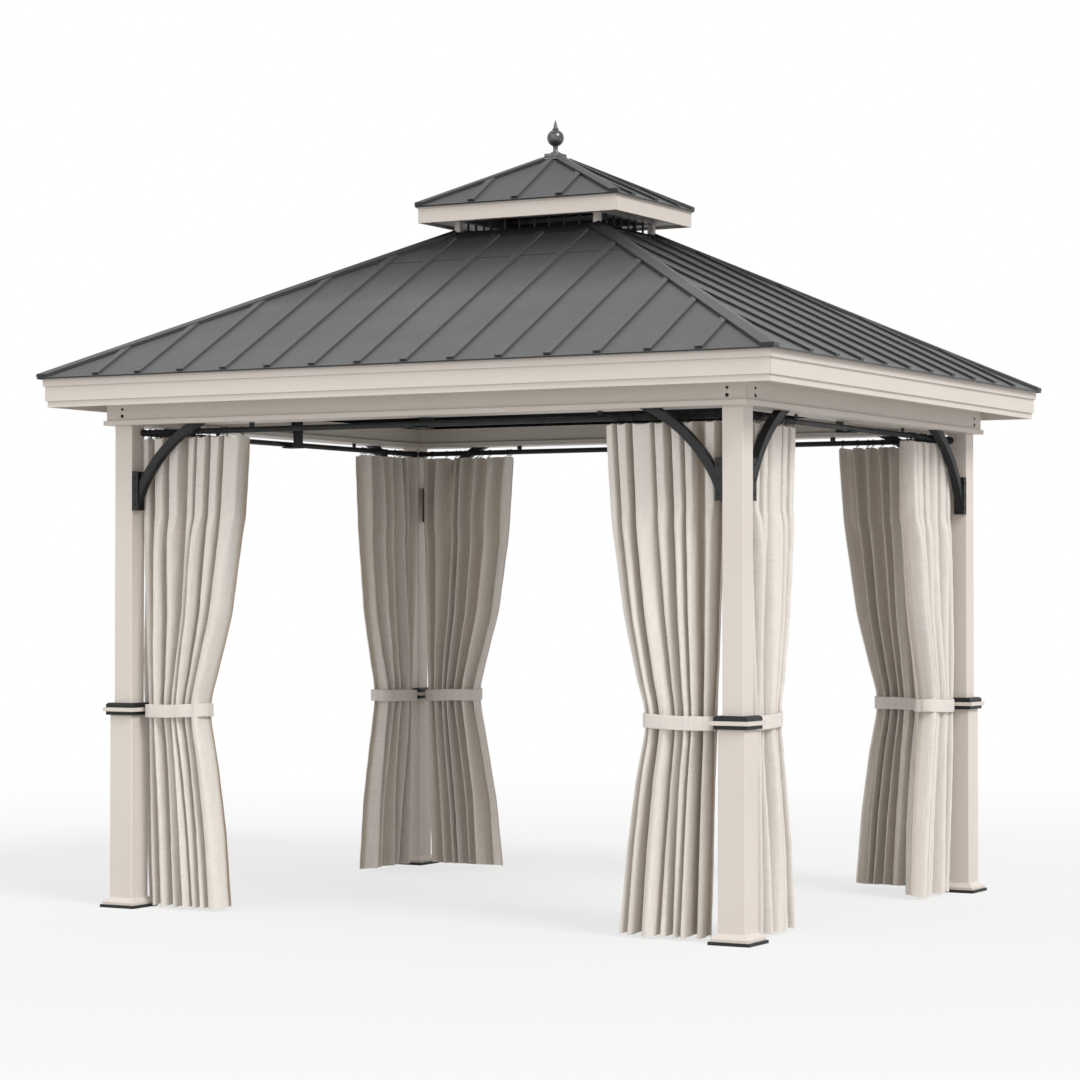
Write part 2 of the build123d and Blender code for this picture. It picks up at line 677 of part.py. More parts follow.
def curtain_rod(side):
    """Rod between two posts with a cup on each post."""
    out = side.post_out - ROD_INSET
    reach = side.post_half - POST_SIZE / 2
    with BuildPart() as rod:
        with BuildSketch(side.section()):
            with Locations((out, ROD_HEIGHT)):
                RegularPolygon(ROD_RADIUS, ROD_SIDES, major_radius=False)
        extrude(amount=reach, both=True)
        for end in ENDS:
            middle = end * (reach - ROD_CUP_LENGTH / 2)
            with BuildSketch(side.section(middle)):
                with Locations((out, ROD_HEIGHT)):
                    RegularPolygon(ROD_CUP_RADIUS, ROD_SIDES, major_radius=False)
            extrude(amount=ROD_CUP_LENGTH / 2, both=True)
    return rod.part


def rod_hangers(side):
    """Flat straps that hang one rod from its beam."""
    out = side.post_out - ROD_INSET
    drop = ROD_DROP - ROD_RADIUS - SEAT
    with BuildPart() as straps:
        for end in ENDS:
            along = end * (side.post_half - HANGER_PLACE)
            with BuildSketch(side.level(along, out, BEAM_UNDERSIDE)):
                Rectangle(HANGER_WIDTH, HANGER_THICKNESS)
        extrude(amount=-drop)
    return straps.part


def rod_bracket(side):
    """Bracket at mid-span: a spacer on the beam's web, a strap past the flange and an arm under the rod."""
    web = side.post_out - BEAM_WEB_WIDTH / 2
    strap = side.post_out - BEAM_FLANGE_WIDTH / 2 - SEAT
    strap_back = strap - BRACKET_THICKNESS
    arm_end = side.post_out - ROD_INSET + ROD_RADIUS
    top = BEAM_UNDERSIDE + BRACKET_RISE
    arm_top = ROD_HEIGHT - ROD_RADIUS - SEAT
    arm_bottom = arm_top - BRACKET_THICKNESS
    outline = [(web, top), (strap_back, top), (strap_back, arm_bottom), (arm_end, arm_bottom),
               (arm_end, arm_top), (strap, arm_top), (strap, top - BRACKET_SPACER),
               (web, top - BRACKET_SPACER)]
    with BuildPart() as bracket:
        with BuildSketch(side.section()):
            with BuildLine():
                Polyline(outline, close=True)
            make_face()
        extrude(amount=BRACKET_WIDTH / 2, both=True)
    return bracket.part


def curtain_rings(side):
    """Rings along one rod, each with a clip down to the curtain's top."""
    out = side.post_out - ROD_INSET
    with BuildPart() as rings:
        for end in ENDS:
            for number in range(RING_COUNT):
                share = (number + 1) / (RING_COUNT + 1)
                from_post = CURTAIN_TOP_NEAR + (CURTAIN_TOP_FAR - CURTAIN_TOP_NEAR) * share
                along = end * (side.post_half - from_post)
                with BuildSketch(side.section(along)):
                    with Locations((out, RING_HEIGHT)):
                        RegularPolygon(RING_OUTER, RING_SIDES, major_radius=False)
                        RegularPolygon(RING_INNER, RING_SIDES, major_radius=False, mode=Mode.SUBTRACT)
                    clip_top = RING_HEIGHT - RING_INNER
                    clip_bottom = RING_HEIGHT - RING_OUTER - CLIP_LENGTH
                    with Locations((out, (clip_top + clip_bottom) / 2)):
                        Rectangle(CLIP_WIDTH, clip_top - clip_bottom)
                extrude(amount=RING_THICKNESS / 2, both=True)
    return rings.part


def curtain(side, end):
    """Gathered curtain beside one post, drawn in at the waist: a front outline cut to a depth outline."""
    half_tie = TIE_HEIGHT / 2
    waist = (CURTAIN_WAIST_NEAR, CURTAIN_WAIST_FAR, CURTAIN_WAIST_DEPTH / 2)
    rows = [
        (CURTAIN_HEM_NEAR, CURTAIN_HEM_FAR, CURTAIN_HEM_DEPTH / 2, CURTAIN_HEM),
        (*waist, CURTAIN_WAIST_HEIGHT - half_tie),
        (*waist, CURTAIN_WAIST_HEIGHT + half_tie),
        (CURTAIN_SWELL_NEAR, CURTAIN_SWELL_FAR, CURTAIN_SWELL_DEPTH / 2, CURTAIN_SWELL_HEIGHT),
        (CURTAIN_TOP_NEAR, CURTAIN_TOP_FAR, CURTAIN_TOP_DEPTH / 2, CURTAIN_TOP),
    ]
    middle = side.post_out - CURTAIN_INSET
    near_edge = [(end * (side.post_half - near), height) for near, far, depth, height in rows]
    far_edge = [(end * (side.post_half - far), height) for near, far, depth, height in rows]
    outer = [(middle + depth, height) for near, far, depth, height in rows]
    inner = [(middle - depth, height) for near, far, depth, height in rows]
    with BuildPart() as cloth:
        with BuildSketch(side.elevation(middle)):
            with BuildLine():
                Polyline(near_edge + far_edge[::-1], close=True)
            make_face()
        extrude(amount=CURTAIN_WAIST_DEPTH + CURTAIN_HEM_DEPTH, both=True)
        with BuildSketch(side.section(end * side.post_half)):
            with BuildLine():
                Polyline(outer + inner[::-1], close=True)
            make_face()
        extrude(amount=CURTAIN_TOP_FAR + CURTAIN_HEM_FAR, both=True, mode=Mode.INTERSECT)
    return cloth.part


def tie_band(side, end):
    """Fabric band round one curtain's waist."""
    width = CURTAIN_WAIST_FAR - CURTAIN_WAIST_NEAR + 2 * SEAT
    depth = CURTAIN_WAIST_DEPTH + 2 * SEAT
    along = end * (side.post_half - (CURTAIN_WAIST_NEAR + CURTAIN_WAIST_FAR) / 2)
    low = CURTAIN_WAIST_HEIGHT - TIE_HEIGHT / 2
    with BuildPart() as band:
        with BuildSketch(side.level(along, side.post_out - CURTAIN_INSET, low)):
            Rectangle(width + 2 * TIE_THICKNESS, depth + 2 * TIE_THICKNESS)
            Rectangle(width, depth, mode=Mode.SUBTRACT)
        extrude(amount=TIE_HEIGHT)
    return band.part


def finial_base_bottom():
    """Height of the finial's base, which stands on the top edges of the upper roof sheets."""
    flattest = min(upper_slope(side).pitch for side in SIDES)
    edge = APEX_HEIGHT - UPPER_ROOF_RISE * APEX_OPEN_SHARE
    return edge + SHEET_THICKNESS * cos(flattest) + SEAT


def finial_base():
    """Square hood over the apex: a rim on the roof sheets, a bevel and a plate."""
    bottom = finial_base_bottom()
    rim_top = bottom + FINIAL_RIM_HEIGHT
    with BuildPart() as base:
        with BuildSketch(Plane.XY.offset(bottom)):
            Rectangle(FINIAL_RIM_SIZE, FINIAL_RIM_SIZE)
        extrude(amount=FINIAL_RIM_HEIGHT)
        with BuildSketch(Plane.XY.offset(rim_top)):
            Rectangle(FINIAL_RIM_SIZE, FINIAL_RIM_SIZE)
        lean = atan((FINIAL_RIM_SIZE - FINIAL_BASE_SIZE) / 2 / FINIAL_BEVEL_HEIGHT)
        extrude(amount=FINIAL_BEVEL_HEIGHT, taper=degrees(lean))
        with BuildSketch(Plane.XY.offset(rim_top + FINIAL_BEVEL_HEIGHT)):
            Rectangle(FINIAL_BASE_SIZE, FINIAL_BASE_SIZE)
        extrude(amount=FINIAL_BASE_THICKNESS)
    return base.part


def finial():
    """Ball and spike on a flanged neck, a turned form in flat facets built up slice by slice."""
    bottom = finial_base_bottom() + FINIAL_RIM_HEIGHT + FINIAL_BEVEL_HEIGHT + FINIAL_BASE_THICKNESS
    flange_top = bottom + FINIAL_FLANGE_HEIGHT
    neck_top = flange_top + FINIAL_NECK_HEIGHT
    half_sweep = radians(FINIAL_BALL_SWEEP / 2)
    ball_centre = neck_top + FINIAL_BALL_RADIUS * sin(half_sweep)
    ring_bottom = ball_centre + FINIAL_BALL_RADIUS * sin(half_sweep)
    ring_top = ring_bottom + FINIAL_TOP_RING_HEIGHT
    turns = [half_sweep * (2 * number / FINIAL_BALL_BANDS - 1) for number in range(FINIAL_BALL_BANDS + 1)]
    ball = [(FINIAL_BALL_RADIUS * cos(turn), ball_centre + FINIAL_BALL_RADIUS * sin(turn)) for turn in turns]
    slices = [((FINIAL_FLANGE_RADIUS, bottom), (FINIAL_FLANGE_RADIUS, flange_top)),
              ((FINIAL_NECK_RADIUS, flange_top), (FINIAL_NECK_RADIUS, neck_top)),
              *zip(ball, ball[1:]),
              ((FINIAL_TOP_RING_RADIUS, ring_bottom), (FINIAL_TOP_RING_RADIUS, ring_top)),
              ((FINIAL_SPIKE_RADIUS, ring_top), (FINIAL_TIP_RADIUS, ring_top + FINIAL_SPIKE_HEIGHT))]
    with BuildPart() as turned:
        for (low_radius, low), (high_radius, high) in slices:
            with BuildSketch(Plane.XY.offset(low)):
                RegularPolygon(low_radius, FINIAL_SIDES, major_radius=False)
            extrude(amount=high - low, taper=degrees(atan2(low_radius - high_radius, high - low)))
    return turned.part


def write_posts():
    names = {(-1, -1): "front_left", (1, -1): "front_right", (-1, 1): "rear_left", (1, 1): "rear_right"}
    places = [(x * POST_HALF_X, y * POST_HALF_Y) for x, y in CORNERS]
    for corner, (x, y) in zip(CORNERS, places):
        write(f"{names[corner]}_post", [post(x, y)])
        write(f"{names[corner]}_sleeve", [sleeve(x, y)])
    write("foot_plates", [foot_plate(x, y) for x, y in places])
    lower = [collar_ring(x, y, COLLAR_HEIGHT, COLLAR_LOWER, COLLAR_RING_SIZE) for x, y in places]
    write("collar_lower_rings", lower)
    bands = [collar_ring(x, y, COLLAR_BAND_BOTTOM, COLLAR_BAND, COLLAR_BAND_SIZE) for x, y in places]
    write("collar_bands", bands)
    ring = (COLLAR_BAND_TOP, COLLAR_UPPER, COLLAR_RING_SIZE, COLLAR_BEVEL)
    write("collar_upper_rings", [collar_ring(x, y, *ring) for x, y in places])


def write_roof():
    for side in SIDES:
        trim = (HIP_CAP_LEG, FLASHING_WIDTH, LAP_HEIGHT_SHARE)
        write(f"{side.name}_roof", [roof_sheet(lower_slope(side), side.seam_count, side.seam_pitch, *trim)])
        write(f"{side.name}_fascia", [fascia(side)])
    write("eave_soffits", [soffit(side) for side in SIDES])
    write("roof_flashings", [flashing(side) for side in SIDES])
    low = SHEET_THICKNESS + LAP_STEP
    caps = [hip_cap(lower_hip(x, y), low, low + HIP_CAP_RISE, HIP_CAP_LEG, SEAT) for x, y in CORNERS]
    write("hip_caps", caps)
    write("hip_rafters", [hip_rafter(x, y) for x, y in CORNERS])
    write("centre_rafters", [centre_rafter(side) for side in SIDES])
    write("wall_plates", [wall_plate(side) for side in SIDES])


def write_vent_and_upper_tier():
    write("vent_curb", [ring_rail(side, CURB_BOTTOM, CURB_TOP) for side in SIDES])
    write("vent_posts", [vent_post(x, y) for x, y in CORNERS])
    write("vent_bars", [vent_bars(side) for side in SIDES])
    head_top = HEAD_RAIL_BOTTOM + HEAD_RAIL_HEIGHT
    write("vent_head_rails", [ring_rail(side, HEAD_RAIL_BOTTOM, head_top) for side in SIDES])
    write("upper_fascia", [upper_fascia(side) for side in SIDES])
    write("upper_soffits", [upper_soffit(side) for side in SIDES])
    sheets = []
    for side in SIDES:
        slope = upper_slope(side)
        strip = (FINIAL_RIM_SIZE / 2 - slope.top_out + SEAT) / cos(slope.pitch)
        sheets.append(roof_sheet(slope, UPPER_SEAM_COUNT, FRONT_SEAM_PITCH, UPPER_CAP_LEG, strip))
    write("upper_roof", sheets)
    top = SHEET_THICKNESS + UPPER_CAP_RISE
    caps = []
    for x, y in CORNERS:
        hip = upper_hip(x, y)
        stop = FINIAL_RIM_SIZE / 2 * (abs(hip.inward.X) + abs(hip.inward.Y)) + SEAT
        caps.append(hip_cap(hip, SHEET_THICKNESS, top, UPPER_CAP_LEG, stop))
    write("upper_hip_caps", caps)
    write("finial_base", [finial_base()])
    write("finial", [finial()])


def write_curtains():
    write("curtain_rods", [curtain_rod(side) for side in SIDES])
    write("rod_hangers", [rod_hangers(side) for side in SIDES] + [rod_bracket(side) for side in SIDES])
    write("curtain_rings", [curtain_rings(side) for side in SIDES])
    hands = {-1: "left", 1: "right"}
    for side in SIDES:
        for end in ENDS:
            write(f"{side.name}_{hands[end]}_curtain", [curtain(side, end)])
    write("tie_bands", [tie_band(side, end) for side in SIDES for end in ENDS])


os.makedirs("parts", exist_ok=True)
write_posts()
for side in SIDES:
    write(f"{side.name}_beam", [beam(side)])
    write(f"{side.name}_braces", [knee_brace(side, end) for end in ENDS])
write_roof()
write_vent_and_upper_tier()
write_curtains()
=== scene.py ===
"""Looks of the metal gazebo: pleated curtains, rings, bolts and finishes round the CAD frame."""
import json
from math import pi, radians

import bmesh
import bpy
import numpy as np
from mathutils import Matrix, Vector


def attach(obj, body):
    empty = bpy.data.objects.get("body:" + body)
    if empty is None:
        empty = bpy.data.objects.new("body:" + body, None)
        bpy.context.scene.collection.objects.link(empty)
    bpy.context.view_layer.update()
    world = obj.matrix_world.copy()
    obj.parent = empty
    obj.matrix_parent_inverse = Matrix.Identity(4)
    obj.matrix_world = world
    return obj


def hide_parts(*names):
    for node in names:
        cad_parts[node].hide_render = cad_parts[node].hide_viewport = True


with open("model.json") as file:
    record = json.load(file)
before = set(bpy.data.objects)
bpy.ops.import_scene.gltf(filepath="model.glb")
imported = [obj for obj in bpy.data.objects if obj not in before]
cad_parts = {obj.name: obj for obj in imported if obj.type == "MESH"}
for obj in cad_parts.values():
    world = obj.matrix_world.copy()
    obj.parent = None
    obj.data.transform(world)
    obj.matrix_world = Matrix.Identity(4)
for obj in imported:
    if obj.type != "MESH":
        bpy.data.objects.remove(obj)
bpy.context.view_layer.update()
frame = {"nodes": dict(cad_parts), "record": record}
nodes = frame["nodes"]
scene = bpy.context.scene
scene.view_settings.view_transform = "Standard"

# Sizes in metres, in the frame of the CAD part
POST_HALF_X = 1.505
POST_HALF_Y = 1.230
POST_FACE = 0.047
BEAM_WEB_FACE = 0.073
SHOE_OUTER_FACE = 0.047
BRACKET_FACE = -0.0903
ROD_INSET = 0.031
ROD_HEIGHT = 2.121
ROD_RADIUS = 0.0125
ROD_CUP_RADIUS = 0.0155
ROD_CUP_DEPTH = 0.014
ROD_CUP_EASE = 0.001
RING_RADIUS = 0.0160
RING_WIRE = 0.0018
HOOK_WIRE = 0.0012
HOOK_BITE = 0.006
HOOK_CURL = 0.006
HOOK_BOW = 0.004
HOOKS_PER_CURTAIN = 11
CLOTH_INSET = 0.034
CLOTH_TOP = 2.098
CLOTH_HEM = 0.016
FRONT_FLAT_WIDTH = 1.50
SIDE_FLAT_WIDTH = 1.25
FRONT_FOLDS = 7.0
SIDE_FOLDS = 6.0
TIE_HEIGHT = 0.880
TIE_WIDTH = 0.058
TIE_HALF_THICKNESS = 0.0013
TIE_CLEARANCE = 0.0030
TIE_TILT = 0.005
TIE_WOBBLE = 0.0015
TRIM_FOOT = 2.2462
TRIM_TOP = 2.2738
TRIM_END_GAP = 0.0030
TRIM_INSET = 0.0018
TRIM_HALF_THICKNESS = 0.001
UP = np.array((0.0, 0.0, 1.0))

# Bolts: heights over the ground, radii, and places along the bay
WEB_BOLTS = ((2.192, 0.0055), (2.222, 0.0042))
WEB_BOLT_RUN = 0.012
SHOE_BOLT_HEIGHTS = (1.800, 1.859, 1.918)
SHOE_BOLT_RUN = 0.016
SHOE_BOLT_RADIUS = 0.0045
BRACKET_BOLT_HEIGHTS = (2.180, 2.216)
BRACKET_BOLT_RUN = 0.022
BRACKET_BOLT_RADIUS = 0.006
BRACKET_BOLT_HEAD = 0.005
BOLT_HEAD = 0.0040
BOLT_SIDES = 12


class Bay:
    """One side of the plan: where it runs, which way it faces and how far its posts stand."""

    def __init__(self, name, along, outward, post_half, post_out, flat_width, folds):
        self.name = name
        self.along = np.array(along, float)
        self.outward = np.array(outward, float)
        self.post_half = post_half
        self.post_out = post_out
        self.flat_width = flat_width
        self.folds = folds

    def points(self, end, from_post, out, height):
        """Points at distances from one post's centre line towards mid-bay, out from the post line, and up."""
        run = end * (self.post_half - np.asarray(from_post, float))
        run, out, height = np.broadcast_arrays(run, self.post_out + np.asarray(out, float), height)
        return run[..., None] * self.along + out[..., None] * self.outward + height[..., None] * UP


BAYS = [
    Bay("front", (1, 0, 0), (0, -1, 0), POST_HALF_X, POST_HALF_Y, FRONT_FLAT_WIDTH, FRONT_FOLDS),
    Bay("right", (0, 1, 0), (1, 0, 0), POST_HALF_Y, POST_HALF_X, SIDE_FLAT_WIDTH, SIDE_FOLDS),
    Bay("rear", (-1, 0, 0), (0, 1, 0), POST_HALF_X, POST_HALF_Y, FRONT_FLAT_WIDTH, FRONT_FOLDS),
    Bay("left", (0, -1, 0), (-1, 0, 0), POST_HALF_Y, POST_HALF_X, SIDE_FLAT_WIDTH, SIDE_FOLDS),
]
ENDS = {-1: "left", 1: "right"}


def grid_faces(rows, columns, wrap_rows=False, wrap_columns=False):
    """Corner numbers of a grid's quads, with the last row or column joined to the first where it wraps."""
    across = np.arange(columns if wrap_columns else columns - 1)
    up = np.arange(rows if wrap_rows else rows - 1)
    across, up = np.meshgrid(across, up)
    right = (across + 1) % columns
    above = (up + 1) % rows
    corners = ((up, across), (up, right), (above, right), (above, across))
    return np.stack([row * columns + column for row, column in corners], -1).reshape(-1, 4)


def put_mesh(name, patches, uv=None, fold=None):
    """One mesh object from (points, quads) patches, laid one after another, with smooth faces."""
    points = np.concatenate([patch[0].reshape(-1, 3) for patch in patches])
    starts = np.cumsum([0] + [len(patch[0].reshape(-1, 3)) for patch in patches[:-1]])
    quads = np.concatenate([patch[1] + start for patch, start in zip(patches, starts)])
    mesh = bpy.data.meshes.new(name)
    mesh.from_pydata(points.tolist(), [], quads.tolist())
    if uv is not None:
        corners = uv.reshape(-1, 2)[quads.reshape(-1)]
        mesh.uv_layers.new(name="cloth").data.foreach_set("uv", corners.astype(np.float32).ravel())
    # The fold attribute carries the wave that places painted shade in a cloth's hollows.
    if fold is not None:
        values = mesh.attributes.new("fold", "FLOAT", "POINT").data
        values.foreach_set("value", fold.astype(np.float32).ravel())
    mesh.polygons.foreach_set("use_smooth", np.ones(len(quads), bool))
    mesh.update()
    piece = bpy.data.objects.new(name, mesh)
    scene.collection.objects.link(piece)
    return piece


def close_poles(piece):
    """Merge the points that lie on each other at poles and turn every face outward."""
    shape = bmesh.new()
    shape.from_mesh(piece.data)
    bmesh.ops.remove_doubles(shape, verts=shape.verts, dist=1e-6)
    bmesh.ops.dissolve_degenerate(shape, edges=shape.edges, dist=1e-7)
    bmesh.ops.recalc_face_normals(shape, faces=shape.faces)
    shape.to_mesh(piece.data)
    shape.free()
    return piece


def turned(profile, centre, axis, sides):
    """Surface of revolution: each (radius, height) of the profile goes round the axis through the centre."""
    profile = np.asarray(profile, float)
    axis = np.asarray(axis, float)
    side = np.cross(axis, UP if abs(axis[2]) < 0.9 else np.array((1.0, 0, 0)))
    side /= np.linalg.norm(side)
    other = np.cross(axis, side)
    angle = np.linspace(0, 2 * pi, sides, endpoint=False)
    round_ = np.cos(angle)[:, None] * side + np.sin(angle)[:, None] * other
    points = np.asarray(centre) + profile[:, 1, None, None] * axis + profile[:, 0, None, None] * round_
    return points, grid_faces(len(profile), sides, wrap_columns=True)


def wire(path, normal, radius, sides, closed=False):
    """Round wire: a circle carried along a flat path with this normal, drawn to a point at open ends."""
    path = np.asarray(path, float)
    normal = np.asarray(normal, float)
    steps = np.arange(len(path))
    width = np.full(len(path), radius)
    if closed:
        tangent = np.roll(path, -1, 0) - np.roll(path, 1, 0)
    else:
        tangent = np.gradient(path, axis=0)
        steps = np.concatenate([steps[:1], steps, steps[-1:]])
        width = np.concatenate([[0], width, [0]])
    tangent /= np.linalg.norm(tangent, axis=1)[:, None]
    across = np.cross(tangent, normal)
    angle = np.linspace(0, 2 * pi, sides, endpoint=False)
    ring = np.cos(angle)[:, None] * across[:, None, :] + np.sin(angle)[:, None] * normal
    points = path[steps, None, :] + width[:, None, None] * ring[steps]
    return points, grid_faces(len(steps), sides, closed, True)


# A curtain's edges: distances from the post's centre line at heights over the ground
NEAR_HEIGHTS = (0.0, 0.30, 0.80, 0.93, 1.10, 1.60, 2.10)
NEAR_EDGE = (0.122, 0.112, 0.101, 0.100, 0.086, 0.066, 0.062)
NEAR_BLUR = 0.09
FREE_HEIGHTS = (0.0, 0.35, 0.65, 0.84, 0.92, 1.045, 1.30, 1.70, 2.09)
FREE_EDGE = (0.522, 0.490, 0.444, 0.404, 0.402, 0.440, 0.514, 0.574, 0.602)
FREE_HEM_SHARES = (1, 1, 0, 0, 0, 0, 0, 0, 0)
FREE_WAIST_SHARES = (0, 0, 1, 1, 1, 1, 0, 0, 0)
FREE_BLUR = 0.05

# Each curtain's own phase, shifts of its free edge at the waist and at the hem, and liveliness
CURTAIN_SHAPES = {
    ("front", -1): (0.0, 0.000, 0.000, 1.0),
    ("front", 1): (1.9, 0.016, 0.010, 0.9),
    ("right", -1): (3.1, 0.014, 0.030, 1.1),
    ("right", 1): (4.4, -0.004, 0.012, 1.0),
    ("rear", -1): (5.2, 0.006, 0.004, 1.1),
    ("rear", 1): (0.9, -0.004, 0.010, 0.9),
    ("left", -1): (2.5, 0.004, 0.018, 1.0),
    ("left", 1): (3.9, 0.000, 0.006, 1.1),
}

# Waves over a curtain: how many across it, how many up it, and how many of its phases they start at
UNEVEN_WAVES = ((0.026, (1.7, 0, 1)), (0.015, (3.9, 0, 2.3)), (0.005, (6.1, 0, 1.1)))
DRIFT_WAVES = (1.3, 0.55, 1)
SWELL_WAVES = (2.6, -0.5, 1.7)
SMALL_SWELL_WAVES = (4.4, 0.8, 0.6)
LEAN_WAVES = (1, 0, 1)
CREASE_WAVES = ((7.3, 9, 1), (3.1, -6, 0))
PINCH_WAVES = (41, 0, 3)

# Strengths of those waves and of the folds, as shares or in metres, and metres over which they fade
DRIFT_SHARE = 0.012
SWELL_SHARE = 0.27
SMALL_SWELL_SHARE = 0.16
LEAN_SHARE = 0.030
TIE_REACH = 0.13
TIE_EVEN_SHARE = 0.35
POST_EDGE_SHARE = 0.40
POST_EDGE_SLOPE = 3.0
FREE_EDGE_SHARE = 0.45
FREE_EDGE_SLOPE = 7.9
PULL_SHARE = 0.34
TIE_PULL_SHARE = 0.20
PUSH_SHARE = 0.36
GATHER_SHARE = 0.22
GATHER_REACH = 0.10
GATHER_START = 0.8
BRACE_ROOM = 0.028
FREE_ROOM = 0.12
BRACE_FOOT = 1.74
BRACE_EASE = 0.20
DEEPEST_FOLD = 0.15
CREASE_DEPTH = 0.0012
PINCH_DEPTH = 0.0020
PINCH_REACH = 0.10
TOP_SAG = 0.004
HEM_DROP = 0.005
EDGE_REACH = 0.05
# Share of the painted shade in the hollows that is taken off just under the heading, and the reach of that.
HEADING_SHARE = 0.5
HEADING_REACH = 0.02
CLOTH_ROWS = 110
COLUMNS_PER_FOLD = 36
HALVINGS = 24


def smooth_line(height, heights, values, blur):
    """A value on straight runs between the given heights, with its corners averaged over a short stretch."""
    shifts = np.linspace(-blur, blur, 25)
    return np.interp(height[:, None] + shifts, heights, values).mean(1)


def curtain_edges(height, waist_shift, hem_shift):
    """Distances of a curtain's edge by the post and of its free edge from the post's centre line."""
    near = smooth_line(height, NEAR_HEIGHTS, NEAR_EDGE, NEAR_BLUR)
    shifts = hem_shift * np.array(FREE_HEM_SHARES) + waist_shift * np.array(FREE_WAIST_SHARES)
    far = smooth_line(height, FREE_HEIGHTS, np.array(FREE_EDGE) + shifts, FREE_BLUR)
    return near[:, None], far[:, None]


def row_length(run, depth):
    """Length of each row of a cloth from the steps between its points."""
    return np.hypot(np.diff(run, axis=1), np.diff(depth, axis=1)).sum(1)


def fold_depth(wave, room, run, flat_width):
    """Depth of the folds, found by halving, so that each row is as long as the flat cloth is wide.

    Outward the depth eases off towards the room that there is.
    """
    low = np.zeros((len(wave), 1))
    high = np.full((len(wave), 1), DEEPEST_FOLD)
    for _ in range(HALVINGS):
        middle = (low + high) / 2
        depth = np.where(wave > 0, room * np.tanh(middle * wave / room), middle * wave)
        short = row_length(run, depth)[:, None] < flat_width
        low = np.where(short, middle, low)
        high = np.where(short, high, middle)
    return depth


def curtain_rows(bay, end):
    """The cloth of one curtain as a grid of points.

    A row's run goes from its edge by the post to its free edge, and its depth is a wave of one period a fold.
    The run is pulled back at twice the wave's rate, so that a fold has a broad front and steep sides, and
    pushed on where the wave comes outward, so that the valleys between the folds are narrow. Close under the
    top edge a wave of three times the rate adds the small gathers of the heading.
    There is less room outward where the cloth hangs behind its brace. At the hem the fronts hang lower.
    """
    phase, waist_shift, hem_shift, liveliness = CURTAIN_SHAPES[(bay.name, end)]
    height = np.linspace(CLOTH_HEM, CLOTH_TOP, CLOTH_ROWS)
    near, far = curtain_edges(height, waist_shift, hem_shift)
    height = height[:, None]
    across = np.linspace(0, 1, int(bay.folds * COLUMNS_PER_FOLD))[None, :]
    level = (height - CLOTH_HEM) / (CLOTH_TOP - CLOTH_HEM)
    tight = np.exp(-((height - TIE_HEIGHT) / TIE_REACH) ** 2)

    def ripple(run_waves, rise_waves, phases):
        """A sine over the cloth."""
        return np.sin(2 * pi * (run_waves * across + rise_waves * level) + phases * phase)

    uneven = sum(share * ripple(*waves) for share, waves in UNEVEN_WAVES)
    drift = DRIFT_SHARE * liveliness * ripple(*DRIFT_WAVES) * (1 - level)
    turn = 2 * pi * bay.folds * (across + uneven + drift) + phase
    fold = 1 + SWELL_SHARE * liveliness * ripple(*SWELL_WAVES)
    fold = fold + SMALL_SWELL_SHARE * ripple(*SMALL_SWELL_WAVES)
    fold = fold * (1 - TIE_EVEN_SHARE * tight) + TIE_EVEN_SHARE * tight
    by_post = POST_EDGE_SHARE + POST_EDGE_SLOPE * across
    by_free_edge = FREE_EDGE_SHARE + FREE_EDGE_SLOPE * (1 - across)
    fold = fold * np.clip(np.minimum(by_post, by_free_edge), 0, 1)

    place = across + LEAN_SHARE * ripple(*LEAN_WAVES) * (1 - level)
    pitch = (far - near) / bay.folds
    sway = (PULL_SHARE + TIE_PULL_SHARE * tight) * np.sin(2 * turn) + PUSH_SHARE * np.cos(turn)
    run = near + (far - near) * place - pitch / (2 * pi) * sway
    gather = GATHER_SHARE * np.exp((height - CLOTH_TOP) / GATHER_REACH) * np.sin(3 * turn + GATHER_START)
    room = BRACE_ROOM + FREE_ROOM * np.clip((BRACE_FOOT - height) / BRACE_EASE, 0, 1)
    depth = fold_depth(fold * (np.sin(turn) + gather), room, run, bay.flat_width)
    crease = CREASE_DEPTH * ripple(*CREASE_WAVES[0]) * ripple(*CREASE_WAVES[1])
    pinch = PINCH_DEPTH * np.exp(-np.abs(height - TIE_HEIGHT) / PINCH_REACH) * ripple(*PINCH_WAVES)
    depth = depth + crease + pinch

    sag = TOP_SAG * (1 - np.cos(2 * turn)) * np.exp((height - CLOTH_TOP) / EDGE_REACH)
    drop = HEM_DROP * np.sin(turn) * np.exp((CLOTH_HEM - height) / EDGE_REACH)
    points = bay.points(end, run, depth - CLOTH_INSET, height - sag - drop)
    flat = np.stack(np.broadcast_arrays(across * bay.flat_width, height - CLOTH_HEM), -1)
    # This wave places the painted shade in the hollows between the folds; it is weaker just under the
    # heading.
    outward = np.sin(turn) * (1 - HEADING_SHARE * np.exp((height - CLOTH_TOP) / HEADING_REACH))
    return points, flat, turn[-1], run, depth, outward


def curtain_cloth(bay, end):
    """One pleated curtain, the points of its top edge for the hooks, and the reach of its waist for the tie.

    The hooks hold the cloth where the wave crosses its middle.
    """
    points, flat, turn, run, depth, outward = curtain_rows(bay, end)
    faces = grid_faces(*points.shape[:2])
    if end > 0:
        faces = faces[:, ::-1]
    piece = put_mesh(f"{bay.name}_{ENDS[end]}_cloth", [(points, faces)], flat, outward)
    crossing = np.flatnonzero(np.diff(np.floor(turn / pi)) != 0)
    chosen = np.linspace(0, len(crossing) - 1, HOOKS_PER_CURTAIN).round().astype(int)
    waist = np.argmin(np.abs(points[:, 0, 2] - TIE_HEIGHT))
    band = slice(waist - 2, waist + 3)
    loop = (run[band].min(), run[band].max(), depth[band].min(), depth[band].max())
    return piece, points[-1, crossing[chosen]], loop


TIE_STEPS = 96
TIE_STRIP_STEPS = 16
TIE_RIPPLES = ((0.0010, 11, 0), (0.0012, 5, 1))


def rounded(value, power):
    """A sine or cosine flattened towards a square wave."""
    return np.sign(value) * np.abs(value) ** power


